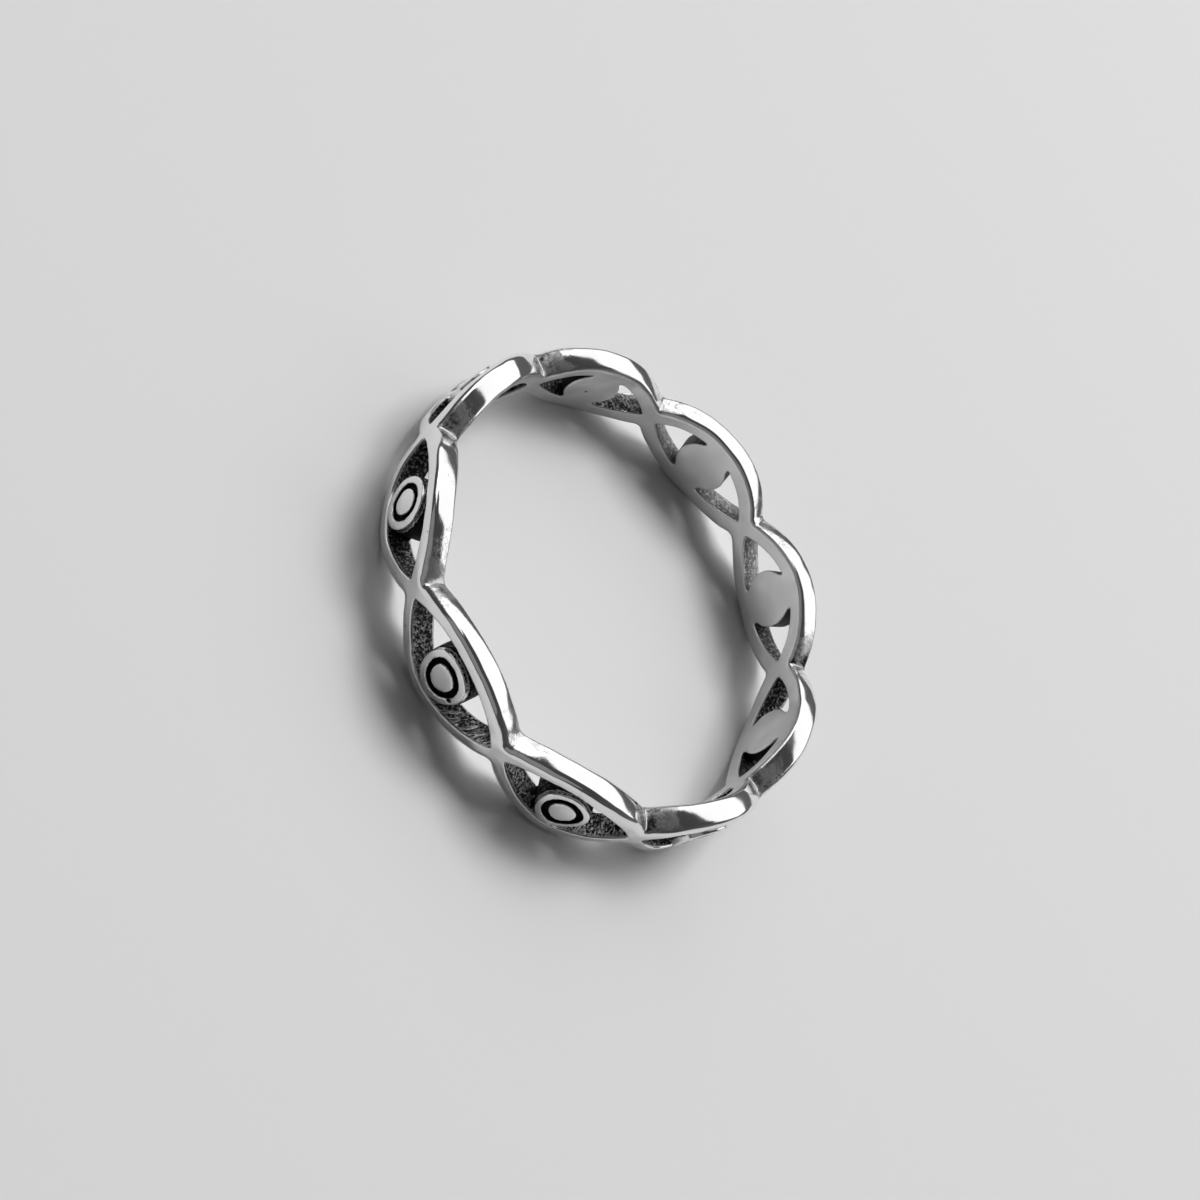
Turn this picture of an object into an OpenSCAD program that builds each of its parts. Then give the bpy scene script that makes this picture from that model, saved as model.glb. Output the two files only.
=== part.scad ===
// A finger ring cast in one piece: a band of nine pierced eyes, lid to lid.
// Millimetres. The ring lies on its side, its axis is Z, and the lowest lids touch Z = 0.
// One eye is centred on the front, at -Y.

/* [Band] */
// Inner diameter, the finger size
bore_diameter = 17.3; // [14:0.1:23]
// Wall from the bore to the outer face
wall = 1.05; // [0.8:0.01:2]
// Number of eyes round the band
eye_count = 9; // [7:1:12]
// Width of the band at the middle of an eye
crown_width = 3.56; // [2.5:0.01:6]
// Width of the band where two eyes meet, on the outer face
notch_width = 1.2; // [0.8:0.01:3]

/* [Opening of an eye] */
// Height of the opening on the outer face
opening_height = 2.44; // [1.5:0.01:5]
// Angle from the middle of an eye to the corner of its opening
corner_angle = 17.9; // [10:0.1:19]

/* [Iris] */
// Diameter of the iris
iris_diameter = 2.1; // [1:0.01:4]
// How far the face of the iris stands out of the outer face
iris_proud = 0.08; // [0:0.01:0.3]
// Outer diameter of the ring engraved round the pupil
groove_diameter = 1.5; // [0.5:0.01:3]
// Diameter of the pupil
pupil_diameter = 1.05; // [0.4:0.01:2.5]
// Depth of the engraved ring
groove_depth = 0.45; // [0.1:0.01:0.8]
// Width of the bridge that joins the iris to both lids
bridge_width = 1.36; // [0.5:0.01:2]
// Depth of the bridge, from the bore outwards
bridge_depth = 0.6; // [0.2:0.01:1]

/* [Hidden] */
$fn = 96;
bore_radius = bore_diameter / 2;
outer_radius = bore_radius + wall;
half_crown = crown_width / 2;
half_notch = notch_width / 2;
half_opening = opening_height / 2;
half_step = 180 / eye_count;
step_angle = 360 / eye_count;
cone_reach = outer_radius * 1.3;

// The edge of a lid is a cone that has its tip on the axis of the ring, level with the crown.
// Its top line is level, and it passes through the crown and through both notches.
rim_fall = atan((half_crown - half_notch) / outer_radius);
rim_angle = atan((1 - cos(rim_fall) * cos(half_step)) / sin(rim_fall));

// The opening is cut by two cones that have their tips at the middle of the ring.
// Each passes through both corners and through the middle of one lid.
lid_rise = atan(half_opening / outer_radius);
lid_tilt = atan((cos(lid_rise) - cos(corner_angle)) / sin(lid_rise));
lid_angle = lid_tilt + lid_rise;

// A cone with its tip at the origin, its axis in the XZ plane and tilted down by tilt.
module tipped_cone(tilt, half_angle) {
    rotate([0, 90 + tilt, 0])
        cylinder(h = cone_reach, r1 = 0, r2 = cone_reach * tan(half_angle));
}

// Everything between the upper and the lower edge of one eye.
module eye_outline() {
    intersection() {
        translate([0, 0, half_crown])
            tipped_cone(rim_angle, rim_angle);
        translate([0, 0, -half_crown])
            tipped_cone(-rim_angle, rim_angle);
    }
}

// The almond-shaped opening of one eye, right through the wall.
module eye_opening() {
    intersection() {
        tipped_cone(lid_tilt, lid_angle);
        tipped_cone(-lid_tilt, lid_angle);
    }
}

// The plain tube that the eyes are cut from, taller than the band so that no cone only touches its ends.
module tube(outer) {
    difference() {
        cylinder(h = crown_width + 1, r = outer, center = true, $fn = 180);
        cylinder(h = crown_width + 3, r = bore_radius, center = true, $fn = 180);
    }
}

// A round bar that runs outwards along X.
module bar(diameter, start, length) {
    translate([start, 0, 0])
        rotate([0, 90, 0])
            cylinder(h = length, d = diameter);
}

// The iris with its pupil, and the bridge that joins it to the lids.
module iris() {
    groove_floor = outer_radius + iris_proud - groove_depth;
    difference() {
        intersection() {
            tube(outer_radius + iris_proud);
            bar(iris_diameter, bore_radius - 1, wall + 3);
        }
        difference() {
            bar(groove_diameter, groove_floor, wall + 1);
            bar(pupil_diameter, groove_floor - 1, wall + 3);
        }
    }
    intersection() {
        tube(bore_radius + bridge_depth);
        translate([bore_radius - 1, -bridge_width / 2, -half_opening])
            cube([wall + 1, bridge_width, opening_height]);
    }
}

// The whole band: nine outlines cut from the tube, pierced, each with its iris.
module eye_band() {
    color([0.78, 0.78, 0.77])
    translate([0, 0, half_crown])
    rotate([0, 0, -90])
    union() {
        difference() {
            for (eye = [0 : eye_count - 1])
                rotate([0, 0, eye * step_angle])
                    intersection() {
                        tube(outer_radius);
                        eye_outline();
                    }
            for (eye = [0 : eye_count - 1])
                rotate([0, 0, eye * step_angle])
                    eye_opening();
        }
        for (eye = [0 : eye_count - 1])
            rotate([0, 0, eye * step_angle])
                iris();
    }
}

eye_band();
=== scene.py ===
"""The looks of the eye ring: a band of nine pierced eyes cast in silver, on a pale floor."""

from math import atan, cos, pi, radians, sin, tan

import bpy
import numpy as np
from mathutils import Matrix, Vector


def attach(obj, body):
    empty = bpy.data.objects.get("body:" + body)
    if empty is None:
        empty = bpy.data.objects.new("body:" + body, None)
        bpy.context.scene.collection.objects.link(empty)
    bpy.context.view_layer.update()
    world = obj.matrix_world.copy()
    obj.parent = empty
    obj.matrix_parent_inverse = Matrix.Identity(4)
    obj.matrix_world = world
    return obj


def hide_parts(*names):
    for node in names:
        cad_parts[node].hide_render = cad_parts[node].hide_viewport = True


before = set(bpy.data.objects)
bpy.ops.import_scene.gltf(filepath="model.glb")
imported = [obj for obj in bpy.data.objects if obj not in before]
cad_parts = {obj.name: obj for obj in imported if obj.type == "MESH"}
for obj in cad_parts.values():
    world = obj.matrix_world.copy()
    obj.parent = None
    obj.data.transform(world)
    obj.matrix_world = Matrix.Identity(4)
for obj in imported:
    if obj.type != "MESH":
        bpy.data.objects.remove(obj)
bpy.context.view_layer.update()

MM = 0.001

# Sizes of the band in millimetres, the same as in the part's source
BORE_RADIUS = 8.65
OUTER_RADIUS = BORE_RADIUS + 1.05
EYE_COUNT = 9
HALF_CROWN = 3.56 / 2
HALF_NOTCH = 1.2 / 2
HALF_OPENING = 2.44 / 2
CORNER = radians(17.9)
IRIS_RADIUS = 2.1 / 2
IRIS_FACE = OUTER_RADIUS + 0.08
GROOVE_RADIUS = 1.5 / 2
PUPIL_RADIUS = 1.05 / 2
GROOVE_FLOOR = IRIS_FACE - 0.45
HALF_BRIDGE = 1.36 / 2
BRIDGE_TOP = BORE_RADIUS + 0.6
HALF_STEP = pi / EYE_COUNT
GROOVE_MIDDLE = (GROOVE_RADIUS + PUPIL_RADIUS) / 2
GROOVE_HALF = (GROOVE_RADIUS - PUPIL_RADIUS) / 2

# How far the edges are rounded by casting and polishing, in millimetres
SHOULDER_ROUND = 0.25
BORE_RIM_ROUND = 0.17
BORE_EYE_ROUND = 0.05
LID_EDGE_ROUND = 0.045
NOTCH_ROUND = 0.15
CORNER_ROUND = 0.1
IRIS_EDGE_ROUND = 0.04
GROOVE_EDGE_ROUND = 0.025
GROOVE_FLOOR_ROUND = 0.08
STEP_EDGE_ROUND = 0.05
BRIDGE_FILLET = 0.09
# How much lower a polished rim is at its edges than along its middle, and at most past them
RIM_CROWN = 0.075
MOST_CROWN = 1.5 * RIM_CROWN
# The step that the iris stands on, just inside the gap
STEP_RADIUS = IRIS_RADIUS + 0.05
STEP_TOP = OUTER_RADIUS - 0.16
# What is nearer than this to the line through the middle of the iris belongs to the iris.
IRIS_REACH = STEP_RADIUS + 0.02
# How far the bridge runs into the lids
BRIDGE_OVERLAP = 0.1
FAR_AWAY = 99.0

# The grid that one eye is meshed on: layers from the bore outwards, in millimetres from the bore
DEPTH_LAYERS = np.array([
    -0.05, 0.01, 0.065, 0.125, 0.2, 0.3, 0.42, 0.54,
    0.66, 0.76, 0.84, 0.91, 0.975, 1.035, 1.1, 1.16,
])
# Layers over a lid, 1 at its edge and 2 at its rim. None lies close to either, so that none of them
# cuts the surface at a flat angle.
RIM_LAYERS = [1.06, 1.17, 1.31, 1.47, 1.64, 1.79, 1.91, 2.3]
LAST_OPENING_LAYER = 0.95
# Past the corner of the opening the layers close up to this share of the rim's height.
LEAST_LID = 0.35

# Swells of hand polishing: shortest and longest wave in millimetres, and their slope
LONG_SWELL = (1.3, 4.5, 0.045)
SHORT_SWELL = (0.6, 1.2, 0.025)
ENGRAVING_WOBBLE = (0.5, 1.3, 0.07)
WAVE_COUNT = 36

# One eye has a wider engraving: how far it is widened at distances from its middle, in millimetres.
# Its iris also sits a little to one side, turned about the ring's axis.
ODD_EYE = 1
WIDER_AT = [0.0, PUPIL_RADIUS, GROOVE_RADIUS, IRIS_RADIUS]
WIDER_BY = [0.0, 0.02, 0.065, 0.0]
ASIDE_BY = radians(-0.6)

# How much casting skin, with its painted dark reflection, is left on the rims of each eye, on its
# first and on its second side
SKIN_AND_DARK_REFLECTION = np.array([
    [0.6, 0.5], [0.4, 0.3], [1.0, 0.4],
    [0.9, 0.4], [1.1, 0.5], [0.4, 0.5],
    [0.4, 1.0], [0.2, 1.0], [0.4, 0.7],
])

# Places and radii of two casting pits, in metres: on the back of one iris and on another's face
PITS = (
    ((-0.00754, 0.00424, 0.00158), 0.00004),
    ((0.00078, -0.00975, 0.00152), 0.00007),
)

# Distance within which the eyes' edges are welded, in metres
WELD_DISTANCE = 0.000002

# Angles of the cones that cut the lids, worked out as in the part's source
rim_fall = atan((HALF_CROWN - HALF_NOTCH) / OUTER_RADIUS)
rim_angle = atan((1 - cos(rim_fall) * cos(HALF_STEP)) / sin(rim_fall))
lid_rise = atan(HALF_OPENING / OUTER_RADIUS)
lid_tilt = atan((cos(lid_rise) - cos(CORNER)) / sin(lid_rise))
lid_angle = lid_tilt + lid_rise


# The shape of one eye, with its middle on +X

def beyond_cone(points, tip_height, tilt, half_angle):
    """Distance to a cone that opens along +X from a tip on the ring's axis; negative inside it."""
    heading = np.array([cos(tilt), 0.0, -sin(tilt)])
    from_tip = points - np.array([0.0, 0.0, tip_height])
    along = from_tip @ heading
    across = np.linalg.norm(from_tip - along[:, None] * heading, axis=1)
    return across * cos(half_angle) - along * sin(half_angle)


def corner_cut(first, second, radius):
    """What is inside both shapes, with the edge where they meet rounded off."""
    past_first = np.maximum(first + radius, 0.0)
    past_second = np.maximum(second + radius, 0.0)
    return np.minimum(np.maximum(first, second), -radius) + np.hypot(past_first, past_second)


def merged(first, second, radius):
    """What is inside either shape, with the groove where they meet filled to a radius."""
    return -corner_cut(-first, -second, radius)


def turned(points, angle):
    """The points turned about the ring's axis, by one angle or by an angle each."""
    x = points[:, 0] * np.cos(angle) - points[:, 1] * np.sin(angle)
    y = points[:, 0] * np.sin(angle) + points[:, 1] * np.cos(angle)
    return np.stack([x, y, points[:, 2]], axis=1)


def first_half(points):
    """The points mirrored to the half of the eye where the angle round the axis is positive."""
    side = np.where(points[:, 1] > 0, 1.0, -1.0)
    return points * np.stack([np.ones_like(side), side, np.ones_like(side)], axis=1)


def from_axes(points):
    """Distances from the ring's axis and from the line through the middle of the iris."""
    return np.hypot(points[:, 0], points[:, 1]), np.hypot(points[:, 1], points[:, 2])


def lid_outline(points):
    """Distance to the outline between the upper and the lower edge of one eye."""
    upper = beyond_cone(points, HALF_CROWN, rim_angle, rim_angle)
    lower = beyond_cone(points, -HALF_CROWN, -rim_angle, rim_angle)
    return np.maximum(upper, lower)


def eye_opening(points):
    """Distance to the almond between the lids of one eye."""
    upper = beyond_cone(points, 0.0, lid_tilt, lid_angle)
    lower = beyond_cone(points, 0.0, -lid_tilt, lid_angle)
    return corner_cut(upper, lower, CORNER_ROUND)


def either_eye(shape, mirrored):
    """Distance to the nearer of two neighbouring eyes' shapes, such as their openings."""
    return np.minimum(shape(mirrored), shape(turned(mirrored, -2 * HALF_STEP)))


def iris_on_bridge(points):
    """Distance to the iris with its engraved ring, on its step and its bridge."""
    radius, from_middle = from_axes(points)
    iris = corner_cut(from_middle - IRIS_RADIUS, radius - IRIS_FACE, IRIS_EDGE_ROUND)
    groove_side = np.abs(from_middle - GROOVE_MIDDLE) - GROOVE_HALF
    groove = corner_cut(groove_side, GROOVE_FLOOR - points[:, 0], GROOVE_FLOOR_ROUND)
    iris = corner_cut(iris, -groove, GROOVE_EDGE_ROUND)
    step = corner_cut(from_middle - STEP_RADIUS, radius - STEP_TOP, STEP_EDGE_ROUND)
    bridge = np.maximum(np.abs(points[:, 1]) - HALF_BRIDGE, radius - BRIDGE_TOP)
    bridge = np.maximum(bridge, np.abs(points[:, 2]) - HALF_OPENING - BRIDGE_OVERLAP)
    # Only the front half of a line counts, so that the far side of the ring has no iris.
    behind = np.where(points[:, 0] > 0, 0.0, FAR_AWAY)
    return merged(np.minimum(iris, step), bridge, BRIDGE_FILLET) + behind


def eye_solid(points):
    """Distance to the metal of one eye and of the near halves of its neighbours."""
    mirrored = first_half(points)
    neighbour = turned(mirrored, -2 * HALF_STEP)
    radius = np.hypot(points[:, 0], points[:, 1])

    outline = merged(lid_outline(mirrored), lid_outline(neighbour), NOTCH_ROUND)
    half_wall = (OUTER_RADIUS - BORE_RADIUS) / 2
    across_rim = (radius - BORE_RADIUS - half_wall) / half_wall
    outline = outline + np.minimum(RIM_CROWN * across_rim * across_rim, MOST_CROWN)
    lids = corner_cut(outline, radius - OUTER_RADIUS, SHOULDER_ROUND)
    lids = corner_cut(lids, -either_eye(eye_opening, mirrored), LID_EDGE_ROUND)
    metal = merged(lids, iris_on_bridge(points), BRIDGE_FILLET)

    # The bore's edge is rounder within 0.2 mm of a rim than from 0.45 mm inside it.
    rim_share = np.clip((outline + 0.45) / 0.25, 0.0, 1.0)
    bore_round = BORE_EYE_ROUND + (BORE_RIM_ROUND - BORE_EYE_ROUND) * rim_share
    return corner_cut(metal, BORE_RADIUS - radius, bore_round)


def slopes(points):
    """The direction and steepness in which the distance to the metal grows."""
    reach = 0.0005
    grown = []
    for axis in range(3):
        shift = np.zeros(3)
        shift[axis] = reach
        grown.append((eye_solid(points + shift) - eye_solid(points - shift)) / (2 * reach))
    return np.stack(grown, axis=1)


def settled(points):
    """The points moved onto the surface of the metal, in rounds of short steps."""
    rounds = 8
    longest_step = 0.05
    least_steepness = 0.05
    for _ in range(rounds):
        grown = slopes(points)
        steep = np.maximum(np.sum(grown * grown, axis=1), least_steepness)
        step = (eye_solid(points) / steep)[:, None] * grown
        length = np.linalg.norm(step, axis=1, keepdims=True)
        points = points - step * np.minimum(1.0, longest_step / np.maximum(length, 1e-9))
    return points


def rim_height(spin, radius):
    """Height of a rim above the middle of the band at an angle from the middle of its eye."""
    lean = tan(rim_angle)
    root = np.sqrt((lean * np.cos(spin)) ** 2 - (1 - lean * lean) * np.sin(spin) ** 2)
    return HALF_CROWN - radius * (lean * np.cos(spin) - root) / (1 - lean * lean)


def lid_height(spin, radius):
    """Height of a lid's edge above the middle of the band; negative past the opening's corner."""
    ahead = np.cos(spin) * cos(lid_tilt)
    side = sin(lid_tilt)
    reach = cos(lid_angle)
    spread = reach * reach - side * side
    root = np.sqrt((ahead * side) ** 2 + spread * (ahead * ahead - reach * reach))
    return radius * (root - ahead * side) / spread


def eye_grid(across_cells, opening_cells):
    """Nodes of a grid round one eye, its layers level with the rims and with the lids' edges."""
    spins = -HALF_STEP + np.arange(across_cells + 2) * (2 * HALF_STEP / across_cells)
    depths = BORE_RADIUS + DEPTH_LAYERS
    opening_layers = LAST_OPENING_LAYER * np.arange(1, opening_cells + 1) / opening_cells
    upper = np.concatenate([opening_layers, RIM_LAYERS])
    layers = np.concatenate([-upper[::-1], [0.0], upper])
    spin, depth, layer = np.meshgrid(spins, depths, layers, indexing="ij")
    from_eye = np.abs((spin + HALF_STEP) % (2 * HALF_STEP) - HALF_STEP)
    rim = rim_height(from_eye, depth)
    lid = np.maximum(lid_height(np.minimum(from_eye, CORNER), depth), LEAST_LID * rim)
    within = np.minimum(np.abs(layer), 1.0)
    beyond = np.maximum(np.abs(layer) - 1.0, 0.0)
    height = np.sign(layer) * (within * lid + beyond * (rim - lid))
    return spin, np.stack([depth * np.cos(spin), depth * np.sin(spin), height], axis=-1)


def edge_ends(axis):
    """Slices that take the lower and the upper ends of the grid's edges along an axis."""
    low = [slice(None)] * 3
    high = [slice(None)] * 3
    low[axis] = slice(0, -1)
    high[axis] = slice(1, None)
    return tuple(low), tuple(high)


def surface_places(nodes, distance, inside):
    """In each cell of the grid, the middle of the places where the surface crosses its edges."""
    cells = tuple(count - 1 for count in distance.shape)
    total = np.zeros(cells + (3,))
    crossings = np.zeros(cells)
    for axis in range(3):
        low, high = edge_ends(axis)
        changes = inside[low] != inside[high]
        gap = distance[low] - distance[high]
        share = np.where(changes, distance[low] / np.where(changes, gap, 1.0), 0.0)
        place = nodes[low] + share[..., None] * (nodes[high] - nodes[low])
        others = [number for number in range(3) if number != axis]
        for first in (0, 1):
            for second in (0, 1):
                take = [slice(None)] * 3
                take[others[0]] = slice(first, first + cells[others[0]])
                take[others[1]] = slice(second, second + cells[others[1]])
                take = tuple(take)
                total += np.where(changes[take][..., None], place[take], 0.0)
                crossings += changes[take]
    crossed = crossings > 0
    return crossed, total[crossed] / crossings[crossed][:, None]


def surface_faces(inside, number, across_cells):
    """A face for each grid edge that the surface crosses, through the four cells round that edge."""
    faces = []
    for axis in range(3):
        low, high = edge_ends(axis)
        changes = inside[low] != inside[high]
        changes[-1 if axis else slice(across_cells, None)] = False
        if axis:
            changes[0] = False
        spots = np.argwhere(changes)
        others = [other for other in range(3) if other != axis]
        if axis == 1:
            others = others[::-1]
        ring = []
        for first, second in ((-1, -1), (0, -1), (0, 0), (-1, 0)):
            cell = spots.copy()
            cell[:, others[0]] += first
            cell[:, others[1]] += second
            ring.append(number[tuple(cell.T)])
        loop = np.stack(ring, axis=1)
        # Angle, depth and height are a left-handed set, so the loop faces back down its grid edge.
        inward = inside[low][tuple(spots.T)]
        loop[inward] = loop[inward][:, ::-1]
        faces.append(loop)
    return np.concatenate(faces)


def eye_mesh(across_cells, opening_cells):
    """Corners and faces of one eye, a net with a corner in each cell that the surface crosses."""
    spin, nodes = eye_grid(across_cells, opening_cells)
    distance = eye_solid(nodes.reshape(-1, 3)).reshape(spin.shape)
    inside = distance < 0
    crossed, corners = surface_places(nodes, distance, inside)
    number = np.full(crossed.shape, -1)
    number[crossed] = np.arange(crossed.sum())
    return settled(corners), surface_faces(inside, number, across_cells)


# What the surface is like at each point of one eye, with distances in millimetres

def smooth_step(low, high, value):
    """0 up to low, 1 from high, and a soft rise between them."""
    share = np.clip((value - low) / (high - low), 0.0, 1.0)
    return share * share * (3 - 2 * share)


def blackening(points):
    """How much of the dark patina is left: all of it in the recesses, none on what is polished."""
    radius, from_middle = from_axes(points)
    on_iris = from_middle < IRIS_REACH
    in_opening = 1 - smooth_step(-0.012, 0.02, either_eye(eye_opening, first_half(points)))
    over_bore = smooth_step(0.02, 0.1, radius - BORE_RADIUS)
    under_lid_face = 1 - smooth_step(-0.13, -0.035, radius - OUTER_RADIUS)
    under_iris_face = 1 - smooth_step(-0.33, -0.08, radius - IRIS_FACE)
    return in_opening * over_bore * np.where(on_iris, under_iris_face, under_lid_face)


def rubbing(points):
    """How far the patina can be worn off: most towards the outer face, least close to the iris."""
    radius, from_middle = from_axes(points)
    outwards = smooth_step(-0.95, -0.15, radius - OUTER_RADIUS)
    from_iris = smooth_step(IRIS_RADIUS, IRIS_RADIUS + 0.8, from_middle)
    return (0.3 + 0.7 * outwards) * (0.25 + 0.75 * from_iris)


def groove_soot(points):
    """1 down in the ring engraved round the pupil, where the patina is never worn away."""
    radius, from_middle = from_axes(points)
    from_groove = np.abs(from_middle - GROOVE_MIDDLE)
    in_groove = 1 - smooth_step(GROOVE_HALF, GROOVE_HALF + 0.03, from_groove)
    under_face = 1 - smooth_step(-0.05, -0.015, radius - IRIS_FACE)
    return in_groove * under_face * (radius > GROOVE_FLOOR - 0.1)


def cast_skin_and_dark_reflection(points):
    """1 at the bottom of the notches, where the polishing wheel doesn't reach the rims; its long
    reach along the rims also paints the dark reflection of the rims sloping into the notches.
    """
    mirrored = first_half(points)
    spin = np.arctan2(mirrored[:, 1], mirrored[:, 0])
    along = (HALF_STEP - spin) * OUTER_RADIUS
    away = np.hypot(along, np.abs(points[:, 2]) - HALF_NOTCH)
    on_rim = smooth_step(-0.12, -0.04, either_eye(lid_outline, mirrored))
    return (1 - smooth_step(0.2, 2.3, away)) * on_rim


def iris_share(points):
    """1 on the iris, front and back, and 0 on the lids."""
    from_middle = from_axes(points)[1]
    return 1 - smooth_step(IRIS_RADIUS, IRIS_REACH, from_middle)


def set_state(mesh, name, values):
    """Gives each point of a mesh a value that its material reads."""
    mesh.attributes.new(name, "FLOAT", "POINT")
    mesh.attributes[name].data.foreach_set("value", values)


def one_eye():
    """The mesh of one eye in metres, its middle on +X, with its surface states as attributes."""
    corners, faces = eye_mesh(across_cells=80, opening_cells=15)
    mesh = bpy.data.meshes.new("one_eye")
    mesh.from_pydata((corners * MM).tolist(), [], faces.tolist())
    set_state(mesh, "patina", blackening(corners))
    set_state(mesh, "rub", rubbing(corners))
    set_state(mesh, "soot", groove_soot(corners))
    set_state(mesh, "iris", iris_share(corners))
    mesh.update()
    return mesh


# Node trees written as Python expressions

class Value:
    """A node's output that ordinary arithmetic works on."""

    def __init__(self, tree, socket):
        self.tree = tree
        self.socket = socket

    def __add__(self, other):
        return self.tree.maths("ADD", self, other)

    __radd__ = __add__

    def __mul__(self, other):
        return self.tree.maths("MULTIPLY", self, other)

    __rmul__ = __mul__

    def __sub__(self, other):
        return self.tree.maths("SUBTRACT", self, other)

    def __rsub__(self, other):
        return self.tree.maths("SUBTRACT", other, self)

    def __truediv__(self, other):
        return self.tree.maths("DIVIDE", self, other)


class Tree:
    """A node tree that is filled by calls, one node each."""

    def __init__(self, nodes):
        self.nodes = nodes.nodes
        self.links = nodes.links

    def node(self, kind, settings=None, inputs=None):
        """A node of a kind: its settings first, then the values or links of its inputs."""
        made = self.nodes.new(kind)
        for name, value in (settings or {}).items():
            setattr(made, name, value)
        for name, value in (inputs or {}).items():
            self.feed(made.inputs[name], value)
        return made

    def feed(self, socket, value):
        """Links or sets one input."""
        if isinstance(value, Value):
            self.links.new(value.socket, socket)
        else:
            socket.default_value = value

    def out(self, made, name=0):
        """An output of a node, ready for arithmetic."""
        return Value(self, made.outputs[name])

    def maths(self, operation, first, second=0.0):
        """An operation on one or two numbers."""
        made = self.node("ShaderNodeMath", {"operation": operation}, {0: first, 1: second})
        return self.out(made)

    def vector_maths(self, operation, inputs, output=0):
        """An operation on vectors."""
        made = self.node("ShaderNodeVectorMath", {"operation": operation}, inputs)
        return self.out(made, output)

    def larger(self, first, second):
        """The larger of two numbers."""
        return self.maths("MAXIMUM", first, second)

    def between(self, value, low, high):
        """0 up to low, 1 from high, straight between them."""
        settings = {"clamp": True}
        inputs = {"Value": value, "From Min": low, "From Max": high}
        return self.out(self.node("ShaderNodeMapRange", settings, inputs))

    def noise(self, place, scale, detail=2.0, roughness=0.5, warp=0.0):
        """A random pattern from 0 to 1, finer the larger its scale is."""
        inputs = {
            "Vector": place,
            "Scale": scale,
            "Detail": detail,
            "Roughness": roughness,
            "Distortion": warp,
        }
        return self.out(self.node("ShaderNodeTexNoise", {}, inputs))

    def mixed(self, share, first, second):
        """A colour between two colours."""
        made = self.node("ShaderNodeMix", {"data_type": "RGBA"}, {"Factor": share})
        self.feed(made.inputs[6], first)
        self.feed(made.inputs[7], second)
        return self.out(made, 2)


def grey(level):
    """A grey as a colour."""
    return (level, level, level, 1.0)


# The finish

def drawn_through_wall(tree, parts):
    """Distance from the ring's axis, and the place pulled onto one radius, for patterns that run
    straight through the wall."""
    flat_parts = {"X": tree.out(parts, "X"), "Y": tree.out(parts, "Y")}
    flat = tree.out(tree.node("ShaderNodeCombineXYZ", {}, flat_parts))
    radius = tree.vector_maths("LENGTH", {0: flat}, "Value")
    heading = tree.vector_maths("NORMALIZE", {0: flat})
    on_wall = tree.vector_maths("SCALE", {0: heading, "Scale": OUTER_RADIUS * MM})
    spread = tree.node("ShaderNodeSeparateXYZ", {}, {0: on_wall})
    # A share of the radius is left in, so that the streaks end.
    through_parts = {
        "X": tree.out(spread, "X") + radius * 0.6,
        "Y": tree.out(spread, "Y"),
        "Z": tree.out(parts, "Z") + radius * 0.4,
    }
    return radius, tree.out(tree.node("ShaderNodeCombineXYZ", {}, through_parts))


def rubbed_and_lit_ridges(tree, parts, streaks, grain, rub):
    """How bright the patina's ridges are worn, with painted light and shade: lighter on the sides of
    the ring where light falls, darker where shade falls; and how far it is even instead of ridged.
    """
    east = tree.out(parts, "X")
    north = tree.out(parts, "Y")
    # Painted shade and light: the patina shows darker towards -X and in the eyes between +X and +Y,
    # where shade falls, and lighter towards +X and at the back, where light falls.
    on_right = tree.between(east, -0.0046, 0.0)
    at_back = tree.between(north, 0.0052, 0.0064) * 0.85
    painted_shade_eyes = tree.between(east, 0.0028, 0.0048) * tree.between(north, 0.0, 0.002)
    painted_light_side = tree.larger(on_right, at_back) * (1.0 - painted_shade_eyes)
    # Where it can be worn less, fewer ridges are bare. At the back the wear is soft and even.
    ridges = streaks * 0.7 + grain * 0.3 - (1.0 - rub) * 0.07
    bare = tree.between(ridges, 0.525, 0.565)
    even = tree.between(north, 0.0058, 0.0078) * 0.9
    bare = bare * (1.0 - even) + (0.04 + streaks * 0.6) * even
    # Painted light and shade: the bare ridges show bright only as far as their side of the ring is
    # lit.
    return bare * painted_light_side * (0.35 + 0.65 * rub), painted_light_side, even


def hairline_nicks(tree, place, clouds, cast):
    """Short lengths of a wandering line, where a second pattern lets them show."""
    wander = tree.noise(place, 1900.0, detail=2.0, roughness=0.6)
    near_line = tree.maths("ABSOLUTE", wander - 0.5)
    let_through = tree.between(clouds * 0.7 + cast * 0.25, 0.43, 0.49)
    return tree.between(near_line, 0.009, 0.003) * let_through


def casting_pits(tree, place):
    """1 in the pits and 0 from twice their radius."""
    pitted = 0.0
    for middle, size in PITS:
        apart = tree.vector_maths("DISTANCE", {0: place, 1: middle}, "Value")
        pitted = tree.larger(pitted, tree.between(apart, 2 * size, size))
    return pitted


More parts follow.
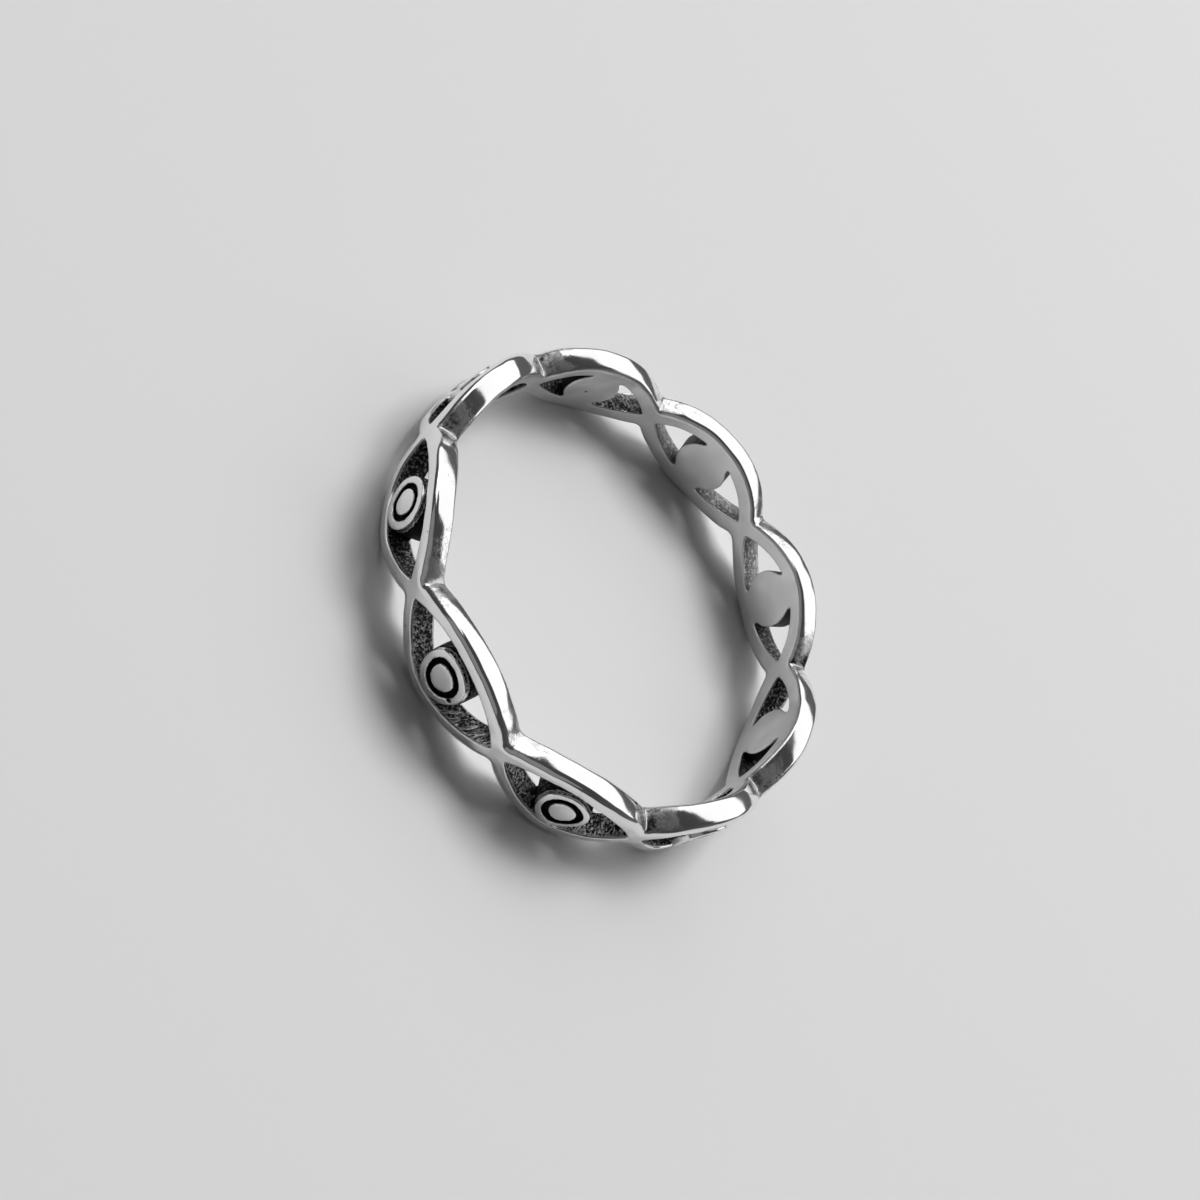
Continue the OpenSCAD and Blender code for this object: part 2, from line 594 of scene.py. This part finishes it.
def silver_finish():
    """Cast silver: polished outside, satin in the bore, blackened and grainy in the recesses."""
    material = bpy.data.materials.new("cast_silver")
    material.use_nodes = True
    tree = Tree(material.node_tree)
    shader = tree.nodes["Principled BSDF"]
    place = tree.out(tree.node("ShaderNodeTexCoord"), "Object")
    parts = tree.node("ShaderNodeSeparateXYZ", {}, {0: place})
    patina, rub, soot, cast, iris = (
        tree.out(tree.node("ShaderNodeAttribute", {"attribute_name": name}), "Fac")
        for name in ("patina", "rub", "soot", "cast", "iris")
    )
    radius, through_wall = drawn_through_wall(tree, parts)

    # Random patterns, their scales per metre
    grain = tree.noise(place, 8500.0, detail=4.0, roughness=0.7)
    streaks = tree.noise(through_wall, 9000.0, detail=2.0, roughness=0.5, warp=1.0)
    clouds = tree.noise(place, 700.0, detail=3.0, roughness=0.55)
    scuffs = tree.noise(place, 2600.0, detail=5.0, roughness=0.7)
    blotches = tree.noise(place, 2100.0, detail=3.0, roughness=0.6, warp=0.6)

    # The patina breaks up into grains at its edge, and its ridges are worn bright, with painted light
    # and shade by the side of the ring they are on.
    ragged = tree.between(patina + (grain - 0.5) * 1.1, 0.4, 0.68)
    lit_rubbed_ridges, painted_light_side, even = rubbed_and_lit_ridges(tree, parts, streaks, grain, rub)
    rubbed_and_lit = lit_rubbed_ridges * (1.0 - 0.6 * iris) * (1.0 - soot)

    # The casting skin is a grey veil with black flecks in it; along the rims near the notches it is
    # also a painted dark reflection.
    unpolished_and_dark_reflection = tree.between(blotches * 0.8 + cast * 0.4, 0.53, 0.64) * cast
    flecks = tree.between(scuffs * 0.6 + grain * 0.4, 0.43, 0.56)
    skin = unpolished_and_dark_reflection * (0.4 + flecks * 0.57)

    # Nicks show on the rims and hardly on an iris.
    on_rims = tree.between(patina * 0.5 + ragged, 0.3, 0.1) * (1.0 - 0.8 * iris)
    nicks = hairline_nicks(tree, place, clouds, cast) * on_rims
    pitted = casting_pits(tree, place)
    marks = tree.larger(tree.larger(skin, nicks * 0.45), pitted)
    dark = tree.larger(ragged * (1.0 - rubbed_and_lit), tree.larger(soot, marks))

    # Nearer the axis than the middle of the wall and not blackened: the satin bore
    bore = tree.between(radius, (BORE_RADIUS + 0.11) * MM, (BORE_RADIUS + 0.03) * MM)
    bore = bore * (1.0 - patina)

    bright = tree.mixed(clouds, grey(0.93), grey(0.86))
    satin = tree.mixed(clouds, grey(0.82), grey(0.68))
    black = tree.mixed(grain, grey(0.002), grey(0.012))
    metal = tree.mixed(bore, bright, satin)
    tree.feed(shader.inputs["Base Color"], tree.mixed(dark, metal, black))
    tree.feed(shader.inputs["Metallic"], 1.0 - dark * 0.7)
    polished = 0.07 + clouds * 0.05 + scuffs * 0.04 + bore * 0.26 + unpolished_and_dark_reflection * 0.2
    blackened = 0.5 + grain * 0.2 - rubbed_and_lit * 0.3
    tree.feed(shader.inputs["Roughness"], polished * (1.0 - ragged) + ragged * blackened)
    shader.inputs["Specular IOR Level"].default_value = 0.1

    # Heights in metres: the cast grain of the recesses and of the patina's edge, and the polish
    edge = patina * (1.0 - patina)
    rough = ragged * (1.0 - even) * (0.15 + painted_light_side * 0.9) + unpolished_and_dark_reflection * 0.15 + edge * 0.8
    cast_height = (grain * 0.7 + streaks) * rough * 0.00004
    sunk = nicks * 0.000001 + pitted * 0.00003
    polish_height = scuffs * (1.0 - ragged) * (0.0000024 + cast * 0.000003) - sunk
    heights = {"Strength": 1.0, "Distance": 1.0, "Height": cast_height + polish_height}
    tree.feed(shader.inputs["Normal"], tree.out(tree.node("ShaderNodeBump", {}, heights)))
    return material


# The band of nine eyes

def band_tree():
    """The tree that sets the eyes round the band and welds them into one skin."""
    group = bpy.data.node_groups.new("eyes_round_band", "GeometryNodeTree")
    group.interface.new_socket("Geometry", in_out="INPUT", socket_type="NodeSocketGeometry")
    for name, kind in (
        ("Eyes", "NodeSocketInt"),
        ("Weld distance", "NodeSocketFloat"),
        ("Material", "NodeSocketMaterial"),
    ):
        group.interface.new_socket(name, in_out="INPUT", socket_type=kind)
    group.interface.new_socket("Geometry", in_out="OUTPUT", socket_type="NodeSocketGeometry")
    tree = Tree(group)
    given = tree.node("NodeGroupInput")
    eyes = tree.out(given, "Eyes")

    spots = tree.node("GeometryNodeMeshLine", {}, {"Count": eyes, "Offset": (0.0, 0.0, 0.0)})
    index = tree.out(tree.node("GeometryNodeInputIndex"))
    turn = index * (2 * pi) / eyes
    facing = tree.node("ShaderNodeCombineXYZ", {}, {"Z": turn})
    placed = tree.node(
        "GeometryNodeInstanceOnPoints",
        {},
        {
            "Points": tree.out(spots, "Mesh"),
            "Instance": tree.out(given, "Geometry"),
            "Rotation": tree.out(facing),
        },
    )
    whole = tree.node("GeometryNodeRealizeInstances", {}, {"Geometry": tree.out(placed, "Instances")})
    welded = tree.node(
        "GeometryNodeMergeByDistance",
        {},
        {"Geometry": tree.out(whole, "Geometry"), "Distance": tree.out(given, "Weld distance")},
    )

    shaded = tree.node("GeometryNodeSetShadeSmooth", {}, {"Geometry": tree.out(welded, "Geometry")})
    finished = tree.node(
        "GeometryNodeSetMaterial",
        {},
        {"Geometry": tree.out(shaded, "Geometry"), "Material": tree.out(given, "Material")},
    )
    tree.node("NodeGroupOutput", {}, {"Geometry": tree.out(finished, "Geometry")})
    return group


def waves(points, shortest, longest, slope, seed):
    """A random swell made of plane waves: its height at the points, and how that grows."""
    draw = np.random.default_rng(seed)
    heading = draw.normal(size=(WAVE_COUNT, 3))
    heading /= np.linalg.norm(heading, axis=1, keepdims=True)
    length = draw.uniform(shortest, longest, size=WAVE_COUNT)
    pace = heading * (2 * pi / length)[:, None]
    size = slope * length / (2 * pi) * (2 / WAVE_COUNT) ** 0.5
    phase = points @ pace.T + draw.uniform(0, 2 * pi, size=WAVE_COUNT)
    return np.sin(phase) @ size, (np.cos(phase) * size) @ pace


def odd_eye_fitted(corners, in_eye, home, eye):
    """The corners with the odd eye's engraving widened and its iris moved aside."""
    from_middle = from_axes(in_eye)[1]
    wider = np.interp(from_middle, WIDER_AT, WIDER_BY) * (eye == ODD_EYE)
    outwards = turned(in_eye * np.array([0.0, 1.0, 1.0]), home)
    fitted = corners + outwards * (wider / np.maximum(from_middle, 0.001))[:, None]
    slid = (eye == ODD_EYE) * (1 - smooth_step(IRIS_RADIUS, IRIS_RADIUS + 0.4, from_middle))
    return turned(fitted, slid * ASIDE_BY)


def hand_polished(corners, in_eye, facing, home, fitted):
    """The corners moved by the swells of hand polishing, and the directions that they then face."""
    whole = np.ones(len(corners))
    engraved = iris_share(in_eye)
    aside = turned(np.tile([0.0, 1.0, 0.0], (len(corners), 1)), home)
    up = np.array([0.0, 0.0, 1.0])
    moves = [(axis, whole, LONG_SWELL) for axis in np.eye(3)]
    moves += [(axis, whole, SHORT_SWELL) for axis in np.eye(3)]
    moves += [(axis, engraved, ENGRAVING_WOBBLE) for axis in (aside, up)]
    moved = fitted
    tilted = facing
    for seed, (direction, share, swell) in enumerate(moves):
        height, grown = waves(corners, *swell, seed)
        moved = moved + direction * (share * height)[:, None]
        along = np.sum(facing * direction, axis=1)
        tilted = tilted - grown * (share * along)[:, None]
    return moved, tilted / np.linalg.norm(tilted, axis=1, keepdims=True)


def finish_by_hand(mesh):
    """Makes the welded band uneven, gives it its casting skin, partly painted dark reflection, and
    sets it in its place, with exact directions for its shading."""
    corners = np.empty(len(mesh.vertices) * 3)
    mesh.vertices.foreach_get("co", corners)
    corners = corners.reshape(-1, 3) / MM
    steps_round = np.round(np.arctan2(corners[:, 1], corners[:, 0]) / (2 * HALF_STEP))
    home = steps_round * 2 * HALF_STEP
    eye = steps_round.astype(int) % EYE_COUNT
    in_eye = turned(corners, -home)
    facing = turned(slopes(in_eye), home)
    facing /= np.linalg.norm(facing, axis=1, keepdims=True)

    side = (in_eye[:, 1] > 0).astype(int)
    # The cast share is partly casting skin and partly painted dark reflection on the rims.
    set_state(mesh, "cast", cast_skin_and_dark_reflection(in_eye) * SKIN_AND_DARK_REFLECTION[eye, side])

    fitted = odd_eye_fitted(corners, in_eye, home, eye)
    moved, facing = hand_polished(corners, in_eye, facing, home, fitted)
    # The first eye faces -Y, and the lowest lids touch the floor.
    moved = turned(moved, -pi / 2) + np.array([0.0, 0.0, HALF_CROWN])
    # What the unevenness would push under the floor is worn flat.
    moved[:, 2] = np.maximum(moved[:, 2], 0.0)
    mesh.vertices.foreach_set("co", (moved * MM).ravel())
    mesh.update()
    mesh.normals_split_custom_set_from_vertices(turned(facing, -pi / 2))


def eye_band():
    """The whole band as one mesh: nine eyes, the first of them facing -Y."""
    seed_eye = bpy.data.objects.new("one_eye", one_eye())
    bpy.context.scene.collection.objects.link(seed_eye)
    group = band_tree()
    modifier = seed_eye.modifiers.new("eyes_round_band", "NODES")
    modifier.node_group = group
    chosen = {
        "Eyes": EYE_COUNT,
        "Weld distance": WELD_DISTANCE,
        "Material": silver_finish(),
    }
    for socket in group.interface.items_tree:
        if socket.in_out == "INPUT" and socket.name in chosen:
            modifier[socket.identifier] = chosen[socket.name]
    bpy.context.view_layer.update()
    evaluated = seed_eye.evaluated_get(bpy.context.evaluated_depsgraph_get())
    mesh = bpy.data.meshes.new_from_object(evaluated)
    mesh.name = "pierced_band"
    seed_eye.modifiers.clear()
    bpy.data.objects.remove(seed_eye)
    finish_by_hand(mesh)
    band = bpy.data.objects.new("pierced_band", mesh)
    bpy.context.scene.collection.objects.link(band)
    return band


# Camera, floor and light, in metres and watts

CAMERA_PLACE = (0.000935, -0.074727, 0.070919)
CAMERA_RIGHT = Vector((0.454385, 0.611008, 0.648231))
CAMERA_UP = Vector((-0.890757, 0.304084, 0.337764))
LENS = 80.55
FLOOR_HALF = 4.0
FLOOR_DROP = 0.00002
DIM_WALL = 0.05
FAR_WALL = 0.1
BACK_WATTS = 9.6
KEY_WATTS = 6.4
LEFT_WATTS = 1.4
FRONT_WATTS = 0.8


def camera():
    """The photograph's view of the ring, found by fitting the eyes and both rims to it."""
    data = bpy.data.cameras.new("camera")
    data.sensor_width = 36.0
    data.lens = LENS
    data.clip_start = 0.005
    data.clip_end = 10.0
    made = bpy.data.objects.new("camera", data)
    back = CAMERA_RIGHT.cross(CAMERA_UP)
    facing = Matrix((CAMERA_RIGHT, CAMERA_UP, back)).transposed()
    made.matrix_world = Matrix.Translation(CAMERA_PLACE) @ facing.to_4x4()
    bpy.context.scene.collection.objects.link(made)
    bpy.context.scene.camera = made


def floor():
    """A wide pale floor just under the ring."""
    sides = [(-1, -1), (1, -1), (1, 1), (-1, 1)]
    corners = [(x * FLOOR_HALF, y * FLOOR_HALF, -FLOOR_DROP) for x, y in sides]
    mesh = bpy.data.meshes.new("floor")
    mesh.from_pydata(corners, [], [(0, 1, 2, 3)])
    material = bpy.data.materials.new("pale_floor")
    material.use_nodes = True
    shader = material.node_tree.nodes["Principled BSDF"]
    shader.inputs["Base Color"].default_value = grey(0.8)
    shader.inputs["Roughness"].default_value = 0.6
    mesh.materials.append(material)
    made = bpy.data.objects.new("floor", mesh)
    bpy.context.scene.collection.objects.link(made)
    return made


def softbox(name, place, size, watts, on_floor=True, in_metal=True):
    """An oblong area light that faces the ring and lights the floor, shows in the metal, or both."""
    data = bpy.data.lights.new(name, "AREA")
    data.shape = "RECTANGLE"
    data.size, data.size_y = size
    data.energy = watts
    made = bpy.data.objects.new(name, data)
    made.location = place
    made.rotation_mode = "QUATERNION"
    made.rotation_quaternion = (-Vector(place)).to_track_quat("-Z", "Y")
    made.visible_camera = False
    made.visible_diffuse = on_floor
    made.visible_glossy = in_metal
    bpy.context.scene.collection.objects.link(made)


def studio():
    """Softboxes behind the ring, to its left and in front, in a dim room with a paler far wall."""
    world = bpy.data.worlds.new("dim_room")
    world.use_nodes = True
    tree = Tree(world.node_tree)
    heading = tree.out(tree.node("ShaderNodeTexCoord"), "Generated")
    parts = tree.node("ShaderNodeSeparateXYZ", {}, {0: heading})
    behind_ring = tree.between(tree.out(parts, "Y"), -0.25, 0.55)
    low = tree.between(tree.out(parts, "Z"), 0.75, 0.25)
    room = tree.mixed(behind_ring * low, grey(DIM_WALL), grey(FAR_WALL))
    tree.feed(tree.nodes["Background"].inputs["Color"], room)
    bpy.context.scene.world = world
    softbox("back_softbox", (-0.14, 0.68, 0.74), (3.0, 0.96), BACK_WATTS)
    softbox("key_softbox", (-0.10, 0.56, 0.84), (0.5, 0.46), KEY_WATTS, in_metal=False)
    softbox("left_softbox", (-0.84, -0.04, 0.80), (0.72, 0.60), LEFT_WATTS, on_floor=False)
    softbox("front_fill", (0.0, -0.85, 0.5), (2.0, 0.8), FRONT_WATTS, on_floor=False)
    bpy.context.scene.view_settings.view_transform = "Standard"
    bpy.context.scene.view_settings.look = "None"


camera()
floor()
studio()

ring = eye_band()
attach(ring, "root")
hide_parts("eye_band")
